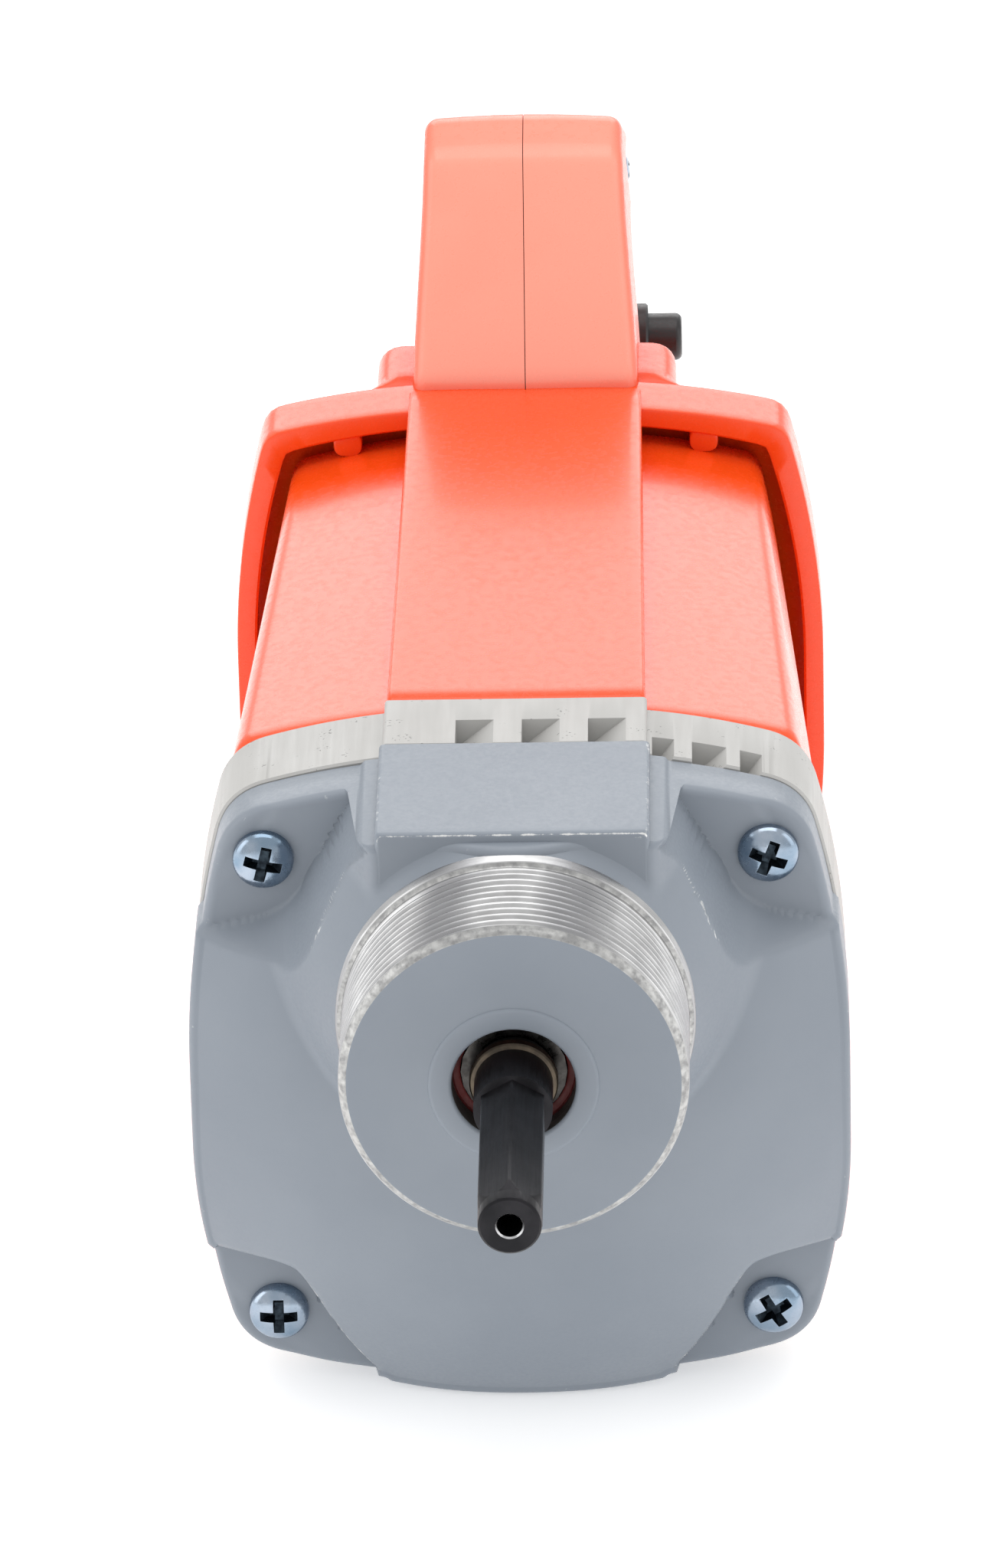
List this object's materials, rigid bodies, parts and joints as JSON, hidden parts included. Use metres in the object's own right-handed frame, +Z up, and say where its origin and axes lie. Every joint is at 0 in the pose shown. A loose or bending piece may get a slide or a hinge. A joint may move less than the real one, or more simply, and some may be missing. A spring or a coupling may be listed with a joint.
{
  "type": "concrete vibrator drive unit",
  "caption": "Hand-held geared motor with a threaded nose, hexagon drive spindle, vented ring and closed rear handle with trigger and lock button.",
  "frame": {"origin": "on the ground under the middle of the tool's length and width", "axes": "+Y runs from the output spindle to the rear handle, +Z up, +X to the tool's right as seen from the spindle's end"},
  "size_m": [0.108, 0.3409, 0.1511],
  "materials": {
    "cover_paint": "satin grey paint on a casting",
    "zinc_screw": "blue zinc plate",
    "grey_plastic": "moulded, fine texture",
    "bare_alloy": "machined",
    "orange_plastic": "glossy moulding",
    "bearing_steel": "ground",
    "seal_rubber": "dark red",
    "black_rubber": "matt",
    "black_oxide": "black oxide",
    "lamination": "stacked sheet",
    "copper": "enamelled wire",
    "black_plastic": "moulded",
    "brass": "drawn",
    "carbon": "pressed carbon",
    "capacitor_case": "moulded"
  },
  "bodies": {
    "casing": {"armature_front_bearing_outer_ring": "bearing_steel", "armature_rear_bearing_outer_ring": "bearing_steel", "baffle_ring": "grey_plastic", "bearing_plate": "bare_alloy", "bearing_shield": "seal_rubber", "capacitor": "capacitor_case", "cord_inlet": "black_rubber", "cover_screw_1": "zinc_screw", "cover_screw_2": "zinc_screw", "cover_screw_3": "zinc_screw", "cover_screw_4": "zinc_screw", "gear_cover": "cover_paint", "handle_screw_1": "zinc_screw", "handle_screw_2": "zinc_screw", "handle_screw_3": "zinc_screw", "handle_screw_4": "zinc_screw", "handle_screw_5": "zinc_screw", "left_brush": "carbon", "left_brush_cap": "black_plastic", "left_brush_holder": "brass", "left_brush_spring": "bearing_steel", "left_handle_shell": "orange_plastic", "lower_field_coil": "copper", "plate_screw_1": "zinc_screw", "plate_screw_2": "zinc_screw", "plate_screw_3": "zinc_screw", "rear_bearing_sleeve": "black_rubber", "retaining_ring": "bearing_steel", "right_brush": "carbon", "right_brush_cap": "black_plastic", "right_brush_holder": "brass", "right_brush_spring": "bearing_steel", "right_handle_shell": "orange_plastic", "spindle_front_bearing_outer_ring": "bearing_steel", "spindle_rear_bearing_outer_ring": "bearing_steel", "stator_core": "lamination", "stator_housing": "orange_plastic", "stator_screw_1": "zinc_screw", "stator_screw_2": "zinc_screw", "switch_body": "black_plastic", "upper_field_coil": "copper"},
    "armature": {"armature_core": "lamination", "armature_front_bearing_inner_ring": "bearing_steel", "armature_rear_bearing_inner_ring": "bearing_steel", "armature_shaft": "bearing_steel", "commutator": "copper", "commutator_collar": "black_plastic", "cooling_fan": "black_plastic", "front_winding": "copper", "rear_winding": "copper"},
    "spindle": {"driven_gear": "bearing_steel", "output_spindle": "black_oxide", "spindle_front_bearing_inner_ring": "bearing_steel", "spindle_rear_bearing_inner_ring": "bearing_steel"},
    "trigger": {"trigger": "black_plastic"},
    "lock_button": {"lock_button": "black_plastic"}
  },
  "joints": [
    {"name": "armature_spin", "type": "hinge", "parent": "casing", "child": "armature", "pos_m": [0, 0, 0.056], "axis": [0, 1, 0], "continuous": true},
    {"name": "spindle_spin", "type": "hinge", "parent": "casing", "child": "spindle", "pos_m": [0, 0, 0.082], "axis": [0, 1, 0], "continuous": true},
    {"name": "trigger_pull", "type": "hinge", "parent": "casing", "child": "trigger", "pos_m": [0, 0.1485, 0.103], "axis": [1, 0, 0], "range_deg": [0, 8], "stiffness_Nm_per_rad": 0.6, "springref_deg": -2.86},
    {"name": "lock_press", "type": "slide", "parent": "casing", "child": "lock_button", "axis": [-1, 0, 0], "range_m": [0, 0.003], "stiffness_N_per_m": 600, "springref_m": -0.001}
  ],
  "couplings": [
    {"joint": "spindle_spin", "follows": "armature_spin", "ratio": -0.29032}
  ]
}
